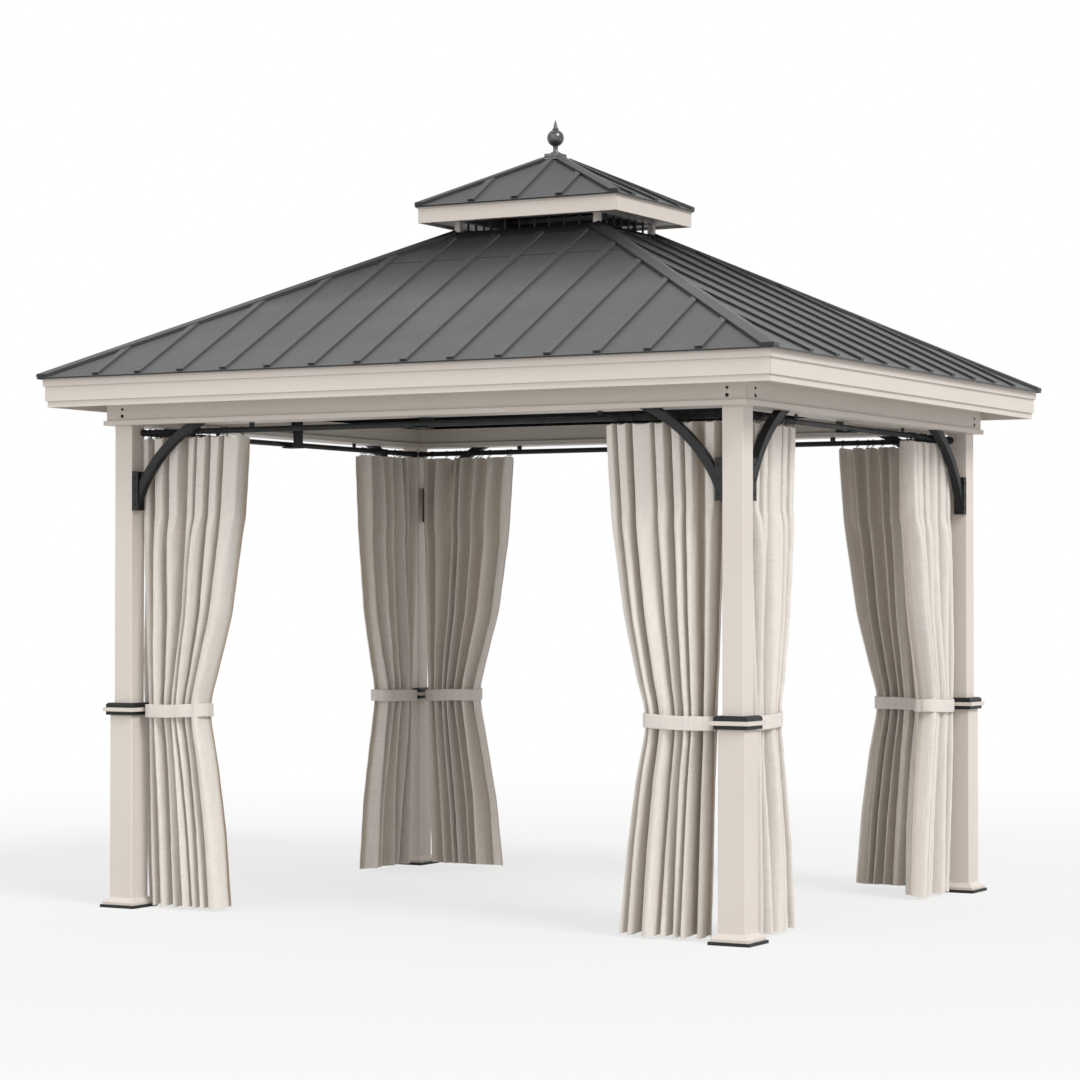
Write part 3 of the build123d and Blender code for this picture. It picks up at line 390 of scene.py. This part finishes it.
def tie_band(bay, end, loop):
    """Flat band round a curtain's waist: a thin rounded strip carried round a squared oval."""
    near, far, back, front = loop
    turn = np.linspace(0, 2 * pi, TIE_STEPS, endpoint=False)[:, None]
    squared = (np.abs(np.cos(turn)) ** 4 + np.abs(np.sin(turn)) ** 4) ** -0.25
    strip = np.linspace(0, 2 * pi, TIE_STRIP_STEPS, endpoint=False)[None, :]
    thick = TIE_HALF_THICKNESS * rounded(np.cos(strip), 0.5)
    tall = TIE_WIDTH / 2 * rounded(np.sin(strip), 0.35)
    half_run = (far - near) / 2 + TIE_CLEARANCE
    half_out = (front - back) / 2 + TIE_CLEARANCE
    ripples = sum(depth * np.sin(waves * turn + start) for depth, waves, start in TIE_RIPPLES)
    run = (near + far) / 2 + np.cos(turn) * (half_run * squared + thick + ripples)
    out = (front + back) / 2 + np.sin(turn) * (half_out * squared + thick + ripples)
    rise = TIE_HEIGHT + tall + TIE_TILT * np.cos(turn) + TIE_WOBBLE * np.sin(3 * turn)
    points = bay.points(end, run, out - CLOTH_INSET, rise)
    length = turn / (2 * pi) * 4 * (half_run + half_out)
    flat = np.stack(np.broadcast_arrays(length, tall + TIE_WIDTH / 2), -1)
    faces = grid_faces(TIE_STEPS, TIE_STRIP_STEPS, True, True)
    return close_poles(put_mesh(f"{bay.name}_{ENDS[end]}_tie", [(points, faces)], flat))


def ring_and_hook(bay, top):
    """A wire ring that hangs on the rod and a bent hook from it down into the cloth's top edge."""
    rod = top - (top @ bay.outward - bay.post_out + ROD_INSET) * bay.outward
    rod[2] = ROD_HEIGHT + ROD_RADIUS - (RING_RADIUS - RING_WIRE)
    angle = np.linspace(0, 2 * pi, 24, endpoint=False)[:, None]
    ring = rod + RING_RADIUS * (np.cos(angle) * bay.outward + np.sin(angle) * UP)
    bend = np.linspace(0, 1, 14)[:, None]
    hang = rod - RING_RADIUS * UP
    foot = top - HOOK_BITE * UP
    sideways = HOOK_CURL * np.sin(2 * pi * bend) + HOOK_BOW * np.sin(pi * bend)
    hook = hang + (foot - hang) * bend + sideways * bay.along
    return [wire(ring, bay.along, RING_WIRE, 6, True), wire(hook, bay.outward, HOOK_WIRE, 6)]


# Outline of a bolt as shares of its radius and of its head's height: washer, crown and socket
BOLT_SHARES = ((0, 0), (1.45, 0), (1.45, 0.25), (1.35, 0.35), (1, 0.35), (1, 0.8), (0.86, 1), (0.5, 1),
               (0.45, 0.6), (0, 0.6))


def bolt(centre, axis, radius, head=BOLT_HEAD):
    """Round-headed bolt on a washer: a turned profile with a rounded crown and a socket."""
    return turned(np.array(BOLT_SHARES) * (radius, head), centre, axis, BOLT_SIDES)


def link(material, a, b):
    material.node_tree.links.new(a, b)


def new_material(name, roughness, metallic=0.0):
    """A principled material with its object coordinates, ready for its patterns."""
    made = bpy.data.materials.new(name)
    made.use_nodes = True
    shader = made.node_tree.nodes["Principled BSDF"]
    shader.inputs["Roughness"].default_value = roughness
    shader.inputs["Metallic"].default_value = metallic
    place = made.node_tree.nodes.new("ShaderNodeTexCoord")
    return made, shader, place


def noise(material, place, scale, detail=2.0, stretch=(1, 1, 1), source="Object"):
    """Cloud noise, with its grain stretched by a mapping."""
    tree = material.node_tree
    mapping = tree.nodes.new("ShaderNodeMapping")
    mapping.inputs["Scale"].default_value = stretch
    cloud = tree.nodes.new("ShaderNodeTexNoise")
    cloud.inputs["Scale"].default_value = scale
    cloud.inputs["Detail"].default_value = detail
    link(material, place.outputs[source], mapping.inputs["Vector"])
    link(material, mapping.outputs["Vector"], cloud.inputs["Vector"])
    return cloud.outputs["Fac"]


def ramp(material, value, stops):
    """Colours over a value, from (place, colour) stops."""
    node = material.node_tree.nodes.new("ShaderNodeValToRGB")
    while len(node.color_ramp.elements) < len(stops):
        node.color_ramp.elements.new(0.5)
    for element, (place, colour) in zip(node.color_ramp.elements, stops):
        element.position = place
        element.color = (*colour, 1)
    link(material, value, node.inputs["Fac"])
    return node.outputs["Color"]


def spread(material, value, low, high, start=0.3, stop=0.7):
    node = material.node_tree.nodes.new("ShaderNodeMapRange")
    for name, number in (("From Min", start), ("From Max", stop), ("To Min", low), ("To Max", high)):
        node.inputs[name].default_value = number
    link(material, value, node.inputs["Value"])
    return node.outputs["Result"]


def bump(material, value, shader, strength, distance, below=None):
    node = material.node_tree.nodes.new("ShaderNodeBump")
    node.inputs["Strength"].default_value = strength
    node.inputs["Distance"].default_value = distance
    link(material, value, node.inputs["Height"])
    if below is not None:
        link(material, below, node.inputs["Normal"])
    link(material, node.outputs["Normal"], shader.inputs["Normal"])
    return node.outputs["Normal"]


def eased_edges(material, radius):
    node = material.node_tree.nodes.new("ShaderNodeBevel")
    node.samples = 4
    node.inputs["Radius"].default_value = radius
    return node.outputs["Normal"]


def powder_coat(name, dark, light, roughness, grain, edge, shine):
    """Baked powder coat: slow colour drift, patchy gloss and a fine orange-peel skin."""
    made, shader, place = new_material(name, roughness)
    shader.inputs["Specular IOR Level"].default_value = shine
    drift = noise(made, place, 2.3, 4)
    link(made, ramp(made, drift, [(0.3, dark), (0.7, light)]), shader.inputs["Base Color"])
    gloss = noise(made, place, 17, 3)
    link(made, spread(made, gloss, roughness - 0.05, roughness + 0.06), shader.inputs["Roughness"])
    skin = noise(made, place, 620, 2)
    bump(made, skin, shader, grain, 0.0004, eased_edges(made, edge))
    return made


def blend(material, share, first, second, kind="MIX"):
    """Mix two colours, or multiply them, by a share."""
    node = material.node_tree.nodes.new("ShaderNodeMixRGB")
    node.blend_type = kind
    for value, socket in ((share, "Fac"), (first, "Color1"), (second, "Color2")):
        if isinstance(value, bpy.types.NodeSocket):
            link(material, value, node.inputs[socket])
        else:
            node.inputs[socket].default_value = (*value, 1) if isinstance(value, tuple) else value
    return node.outputs["Color"]


def facing(material, axis, low, high, start, stop):
    """A value that follows how squarely a flat face looks along one axis, either way."""
    tree = material.node_tree
    geometry = tree.nodes.new("ShaderNodeNewGeometry")
    parts = tree.nodes.new("ShaderNodeSeparateXYZ")
    size = tree.nodes.new("ShaderNodeMath")
    size.operation = "ABSOLUTE"
    link(material, geometry.outputs["True Normal"], parts.inputs["Vector"])
    link(material, parts.outputs[axis], size.inputs[0])
    return spread(material, size.outputs[0], low, high, start, stop)


def height_share(material, place, low, high):
    """Zero at one height of the frame and one at another."""
    parts = material.node_tree.nodes.new("ShaderNodeSeparateXYZ")
    link(material, place.outputs["Object"], parts.inputs["Vector"])
    return spread(material, parts.outputs["Z"], 0, 1, low, high)


def roof_steel():
    """Coated roof sheet: grey with a slow drift. Painted shade darkens the lower tier's slopes most just
    under the upper tier and the vent, and draws the upper tier a little darker than the eaves.

    The folded sides of the seams get painted shade, darker than the sheet, most of all on the two end slopes.
    """
    made, shader, place = new_material("roof_steel", 0.6)
    eaves, peak = 2.36, 3.42
    drift = noise(made, place, 1.6, 4)
    sheet = ramp(made, drift, [(0.3, (0.090, 0.090, 0.091)), (0.7, (0.103, 0.103, 0.104))])
    # Painted shade: a height ramp darkens the slopes just under the upper tier, draws the upper tier a little
    # darker, and lowers the reflection where it is dark.
    tones = ((0.0, 1.0), (0.30, 0.98), (0.45, 0.55), (0.58, 0.22), (0.66, 0.16), (0.75, 0.85), (1.0, 0.80))
    stops = [(at, (tone, tone, tone)) for at, tone in tones]
    painted_shade = ramp(made, height_share(made, place, eaves, peak), stops)
    link(made, spread(made, painted_shade, 0.02, 0.36, 0.1, 1.0), shader.inputs["Specular IOR Level"])
    sheet = blend(made, 1.0, sheet, painted_shade, "MULTIPLY")
    # Painted shade on the seams' folded sides: near-upright faces are coloured dark, darkest where they face
    # front or back.
    sides = blend(made, facing(made, "Y", 0, 1, 0.5, 0.8), (0.072, 0.072, 0.073), (0.022, 0.022, 0.023))
    sheet = blend(made, facing(made, "Z", 1, 0, 0.60, 0.76), sheet, sides)
    link(made, sheet, shader.inputs["Base Color"])
    gloss = noise(made, place, 9, 4)
    link(made, spread(made, gloss, 0.56, 0.66), shader.inputs["Roughness"])
    wave = noise(made, place, 3.2, 1)
    slow = bump(made, wave, shader, 0.06, 0.006, eased_edges(made, 0.0015))
    skin = noise(made, place, 480, 2)
    bump(made, skin, shader, 0.06, 0.0004, slow)
    return made


def cast_metal():
    """Dark cast metal of the finial, with a worn sheen."""
    made, shader, place = new_material("finial_cast", 0.3, 0.85)
    drift = noise(made, place, 60, 4)
    colour = ramp(made, drift, [(0.35, (0.085, 0.086, 0.09)), (0.7, (0.15, 0.151, 0.155))])
    link(made, colour, shader.inputs["Base Color"])
    link(made, spread(made, drift, 0.24, 0.38), shader.inputs["Roughness"])
    skin = noise(made, place, 320, 3)
    bump(made, skin, shader, 0.12, 0.0006)
    return made


def painted_crease_shade(material):
    """Mask of painted shade: one deep in the hollows between the folds on the side that is seen, and zero on
    their fronts.
    """
    tree = material.node_tree
    fold = tree.nodes.new("ShaderNodeAttribute")
    fold.attribute_name = "fold"
    geometry = tree.nodes.new("ShaderNodeNewGeometry")
    side = spread(material, geometry.outputs["Backfacing"], -1, 1, 0, 1)
    seen = tree.nodes.new("ShaderNodeMath")
    seen.operation = "MULTIPLY"
    link(material, fold.outputs["Fac"], seen.inputs[0])
    link(material, side, seen.inputs[1])
    return spread(material, seen.outputs[0], 0, 1, 0.10, 0.95)


# Threads a metre of the linen, the tint of the painted shade in its hollows, and the light that comes through
# it
WEFT_STRETCH = (14, 520, 1)
WARP_STRETCH = (480, 9, 1)
CREASE_SHADE_TINT = (0.52, 0.45, 0.385)
THROUGH_COLOUR = (0.72, 0.63, 0.52, 1)
THROUGH_SHARE = 0.20


def linen(name, dark, light):
    """Woven linen on the cloth's own metres: slub threads both ways, with painted shade making it browner in
    the hollows between the folds.
    """
    made, shader, place = new_material(name, 0.9)
    shader.inputs["Sheen Weight"].default_value = 0.15
    shader.inputs["Sheen Roughness"].default_value = 0.5
    tree = made.node_tree
    weft = noise(made, place, 1.0, 3, WEFT_STRETCH, "UV")
    warp = noise(made, place, 1.0, 3, WARP_STRETCH, "UV")
    threads = tree.nodes.new("ShaderNodeMath")
    threads.operation = "ADD"
    link(made, weft, threads.inputs[0])
    link(made, warp, threads.inputs[1])
    tone = spread(made, threads.outputs[0], 0, 1, 0.72, 1.28)
    cloth = ramp(made, tone, [(0.0, dark), (1.0, light)])
    # Painted shade: the cloth is multiplied browner in the hollows between the folds.
    shaded_cloth = blend(made, 1.0, cloth, CREASE_SHADE_TINT, "MULTIPLY")
    link(made, blend(made, painted_crease_shade(made), cloth, shaded_cloth), shader.inputs["Base Color"])
    bump(made, threads.outputs[0], shader, 0.35, 0.0012)
    through = tree.nodes.new("ShaderNodeBsdfTranslucent")
    through.inputs["Color"].default_value = THROUGH_COLOUR
    both = tree.nodes.new("ShaderNodeMixShader")
    both.inputs["Fac"].default_value = THROUGH_SHARE
    link(made, shader.outputs[0], both.inputs[1])
    link(made, through.outputs[0], both.inputs[2])
    link(made, both.outputs[0], tree.nodes["Material Output"].inputs["Surface"])
    return made


CREAM = powder_coat("cream_coat", (0.600, 0.548, 0.500), (0.622, 0.570, 0.522), 0.48, 0.05, 0.0015, 0.4)
BLACK = powder_coat("black_coat", (0.011, 0.012, 0.013), (0.016, 0.017, 0.018), 0.50, 0.10, 0.0010, 0.3)
ROOF = roof_steel()
FINIAL = cast_metal()
LINEN = linen("curtain_linen", (0.690, 0.645, 0.595), (0.890, 0.855, 0.810))

FINISHES = {
    "cream_paint": CREAM,
    "black_paint": BLACK,
    "roof_grey": ROOF,
    "finial_metal": FINIAL,
    "curtain_fabric": LINEN,
}
for subpart in frame["record"]["subparts"]:
    node = nodes[subpart["node"]]
    node.data.materials.clear()
    node.data.materials.append(FINISHES[subpart["material_slot"]])


def fit(piece, material, slot, *replaced):
    """Paint a new piece, tie it to the frame and hide the CAD nodes that it stands for."""
    piece.data.materials.append(material)
    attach(piece, "root")
    if replaced:
        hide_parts(*replaced)
    return piece


ring_patches = []
for bay in BAYS:
    for end, hand in ENDS.items():
        cloth, hooks, loop = curtain_cloth(bay, end)
        fit(cloth, LINEN, "curtain_fabric", f"{bay.name}_{hand}_curtain")
        band = fit(tie_band(bay, end, loop), LINEN, "curtain_fabric", "tie_bands")
        for top in hooks:
            ring_patches += ring_and_hook(bay, top)
rings = close_poles(put_mesh("rod_rings_and_hooks", ring_patches))
fit(rings, BLACK, "black_paint", "curtain_rings")

bolt_patches = []
for bay in BAYS:
    for end in ENDS:
        for height, radius in WEB_BOLTS:
            place = bay.points(end, WEB_BOLT_RUN, BEAM_WEB_FACE, height)
            bolt_patches.append(bolt(place, bay.outward, radius))
        for height in SHOE_BOLT_HEIGHTS:
            place = bay.points(end, POST_FACE + SHOE_BOLT_RUN, SHOE_OUTER_FACE, height)
            bolt_patches.append(bolt(place, bay.outward, SHOE_BOLT_RADIUS))
    for run in (-BRACKET_BOLT_RUN, BRACKET_BOLT_RUN):
        for height in BRACKET_BOLT_HEIGHTS:
            place = bay.points(1, bay.post_half - run, BRACKET_FACE, height)
            bolt_patches.append(bolt(place, -bay.outward, BRACKET_BOLT_RADIUS, BRACKET_BOLT_HEAD))
bolts = close_poles(put_mesh("frame_bolts", bolt_patches))
fit(bolts, BLACK, "black_paint")


def smooth_rods():
    """Round curtain rods with end cups: a turned profile along each bay."""
    patches = []
    for bay in BAYS:
        reach = bay.post_half - POST_FACE
        cup = reach - ROD_CUP_DEPTH
        lip = ROD_CUP_RADIUS - ROD_CUP_EASE
        profile = [(0, -reach), (ROD_CUP_RADIUS, -reach), (ROD_CUP_RADIUS, ROD_CUP_EASE - cup), (lip, -cup),
                   (ROD_RADIUS, -cup), (ROD_RADIUS, cup), (lip, cup), (ROD_CUP_RADIUS, cup - ROD_CUP_EASE),
                   (ROD_CUP_RADIUS, reach), (0, reach)]
        middle = (bay.post_out - ROD_INSET) * bay.outward + ROD_HEIGHT * UP
        patches.append(turned(profile, middle, bay.along, 24))
    return close_poles(put_mesh("round_rods", patches))


def eave_trims():
    """Thin closing strips between the beams' tops and the soffit: an oblong carried along each side."""
    patches = []
    half_height = (TRIM_TOP - TRIM_FOOT) / 2
    for bay in BAYS:
        reach = bay.post_half + BEAM_WEB_FACE - TRIM_END_GAP
        run = np.array([-reach, -reach, reach, reach])[:, None]
        size = np.array([0, 1, 1, 0])[:, None]
        out = BEAM_WEB_FACE - TRIM_INSET + size * TRIM_HALF_THICKNESS * np.array([-1, 1, 1, -1])
        rise = (TRIM_FOOT + TRIM_TOP) / 2 + size * half_height * np.array([-1, -1, 1, 1])
        points = bay.points(1, bay.post_half - run, out, rise)
        patches.append((points, grid_faces(4, 4, wrap_columns=True)))
    strips = close_poles(put_mesh("eave_trims", patches))
    strips.data.shade_flat()
    return strips


# Finial: outlines as (radius, height over its foot) in metres, and the sizes of its round stretches
FINIAL_FLANGE = [(0, 0), (0.0235, 0), (0.0240, 0.0010), (0.0240, 0.0062), (0.0228, 0.0076), (0.0165, 0.0090)]
FINIAL_RING = [(0.0122, 0.1116), (0.0146, 0.1128), (0.0150, 0.1150), (0.0146, 0.1178), (0.0112, 0.1192)]
FINIAL_NECK_RADIUS = 0.0132
FINIAL_NECK_WAIST = 0.0026
FINIAL_NECK_FOOT = 0.0100
FINIAL_NECK_LENGTH = 0.0270
FINIAL_BALL_RADIUS = 0.0390
FINIAL_BALL_HEIGHT = 0.0746
FINIAL_BALL_TURN = 1.20
FINIAL_SPIKE_RADIUS = 0.0102
FINIAL_SPIKE_TIP = 0.0008
FINIAL_SPIKE_FOOT = 0.1192
FINIAL_SPIKE_LENGTH = 0.0400
FINIAL_TOP = 0.1600


def turned_finial():
    """Finial: a flange, a waisted neck, a ball, a small ring and a tapering spike, turned about the axis."""
    cast = nodes["finial"]
    foot = min((cast.matrix_world @ Vector(corner)).z for corner in cast.bound_box)
    rows = list(FINIAL_FLANGE)
    for step in np.linspace(0, 1, 14):
        radius = FINIAL_NECK_RADIUS - FINIAL_NECK_WAIST * np.sin(pi * step)
        rows.append((radius, FINIAL_NECK_FOOT + FINIAL_NECK_LENGTH * step))
    for turn in np.linspace(-FINIAL_BALL_TURN, FINIAL_BALL_TURN, 40):
        height = FINIAL_BALL_HEIGHT + FINIAL_BALL_RADIUS * np.sin(turn)
        rows.append((FINIAL_BALL_RADIUS * np.cos(turn), height))
    rows += FINIAL_RING
    for step in np.linspace(0, 1, 16):
        radius = FINIAL_SPIKE_RADIUS * (1 - step) ** 0.8 + FINIAL_SPIKE_TIP
        rows.append((radius, FINIAL_SPIKE_FOOT + FINIAL_SPIKE_LENGTH * step))
    rows.append((0, FINIAL_TOP))
    return close_poles(put_mesh("turned_finial", [turned(rows, (0, 0, foot), UP, 40)]))


fit(smooth_rods(), BLACK, "black_paint", "curtain_rods")
fit(turned_finial(), FINIAL, "finial_metal", "finial")
fit(eave_trims(), CREAM, "cream_paint")


def white_rays(tree, rays):
    """One for rays from the camera, from mirrors and through clear parts, zero for the rays that light."""
    share = rays.outputs["Is Camera Ray"]
    for kind in ("Is Glossy Ray", "Is Transmission Ray"):
        larger = tree.nodes.new("ShaderNodeMath")
        larger.operation = "MAXIMUM"
        tree.links.new(share, larger.inputs[0])
        tree.links.new(rays.outputs[kind], larger.inputs[1])
        share = larger.outputs[0]
    return share


# Light, ground and camera of the photo: colours, distances in metres and angles in degrees
SKY_COLOUR = (1.0, 0.985, 0.97, 1)
SKY_STRENGTH = 0.80
WHITE = (1, 1, 1, 1)
GROUND_COLOUR = (0.60, 0.60, 0.60, 1)
GROUND_HALF = 60.0
GLOW_NEAR = 0.70
GLOW_FAR = 1.0
GLOW_START = 3.8
GLOW_STOP = 9.5
LAMP_COLOUR = (1.0, 0.99, 0.975)
LAMP_DISTANCE = 20
CAMERA_PLACE = (6.675, -12.189, 1.401)
CAMERA_TILT = 91.0118
CAMERA_TURN = 29.0012
CAMERA_LENS_MM = 100.68
CAMERA_SENSOR_MM = 36.0


def sky():
    """Even studio light. The camera, reflections and clear parts see a white surround."""
    world = bpy.data.worlds.new("studio")
    scene.world = world
    world.use_nodes = True
    tree = world.node_tree
    tree.nodes.clear()
    rays = tree.nodes.new("ShaderNodeLightPath")
    seen = white_rays(tree, rays)
    light = tree.nodes.new("ShaderNodeBackground")
    light.inputs["Color"].default_value = SKY_COLOUR
    light.inputs["Strength"].default_value = SKY_STRENGTH
    white = tree.nodes.new("ShaderNodeBackground")
    white.inputs["Color"].default_value = WHITE
    white.inputs["Strength"].default_value = 1.0
    mix = tree.nodes.new("ShaderNodeMixShader")
    out = tree.nodes.new("ShaderNodeOutputWorld")
    tree.links.new(seen, mix.inputs["Fac"])
    tree.links.new(light.outputs[0], mix.inputs[1])
    tree.links.new(white.outputs[0], mix.inputs[2])
    tree.links.new(mix.outputs[0], out.inputs["Surface"])


def floor():
    """Pale ground that shows near white to the camera and keeps the gazebo's shadow."""
    corners = GROUND_HALF * np.array([[(-1, -1, 0), (1, -1, 0)], [(-1, 1, 0), (1, 1, 0)]], float)
    ground = put_mesh("ground", [(corners, grid_faces(2, 2))])
    made, shader, place = new_material("pale_ground", 0.9)
    shader.inputs["Base Color"].default_value = GROUND_COLOUR
    shader.inputs["Specular IOR Level"].default_value = 0.0
    tree = made.node_tree
    glow = tree.nodes.new("ShaderNodeEmission")
    glow.inputs["Strength"].default_value = 1.0
    rays = tree.nodes.new("ShaderNodeLightPath")
    far = tree.nodes.new("ShaderNodeVectorMath")
    far.operation = "LENGTH"
    link(made, place.outputs["Object"], far.inputs[0])
    fade = spread(made, far.outputs["Value"], GLOW_NEAR, GLOW_FAR, GLOW_START, GLOW_STOP)
    seen = tree.nodes.new("ShaderNodeMath")
    seen.operation = "MULTIPLY"
    mix = tree.nodes.new("ShaderNodeMixShader")
    link(made, white_rays(tree, rays), seen.inputs[0])
    link(made, fade, seen.inputs[1])
    link(made, seen.outputs[0], mix.inputs["Fac"])
    link(made, shader.outputs[0], mix.inputs[1])
    link(made, glow.outputs[0], mix.inputs[2])
    link(made, mix.outputs[0], tree.nodes["Material Output"].inputs["Surface"])
    ground.data.materials.append(made)


def sun(name, towards, strength, spread_deg):
    """A soft far lamp that shines from one direction."""
    data = bpy.data.lights.new(name, "SUN")
    data.energy = strength
    data.angle = radians(spread_deg)
    data.color = LAMP_COLOUR
    made = bpy.data.objects.new(name, data)
    scene.collection.objects.link(made)
    made.location = Vector(towards) * LAMP_DISTANCE
    made.rotation_euler = Vector(towards).to_track_quat("Z", "Y").to_euler()


sky()
floor()
sun("key", towards=(0.70, -0.27, 0.66), strength=2.15, spread_deg=22)
sun("front_fill", towards=(-0.15, -0.95, 0.20), strength=0.78, spread_deg=60)

lens = bpy.data.cameras.new("photo_camera")
lens.sensor_width = CAMERA_SENSOR_MM
lens.lens = CAMERA_LENS_MM
lens.clip_end = 200.0
camera = bpy.data.objects.new("photo_camera", lens)
scene.collection.objects.link(camera)
camera.location = CAMERA_PLACE
camera.rotation_euler = (radians(CAMERA_TILT), 0.0, radians(CAMERA_TURN))
scene.camera = camera
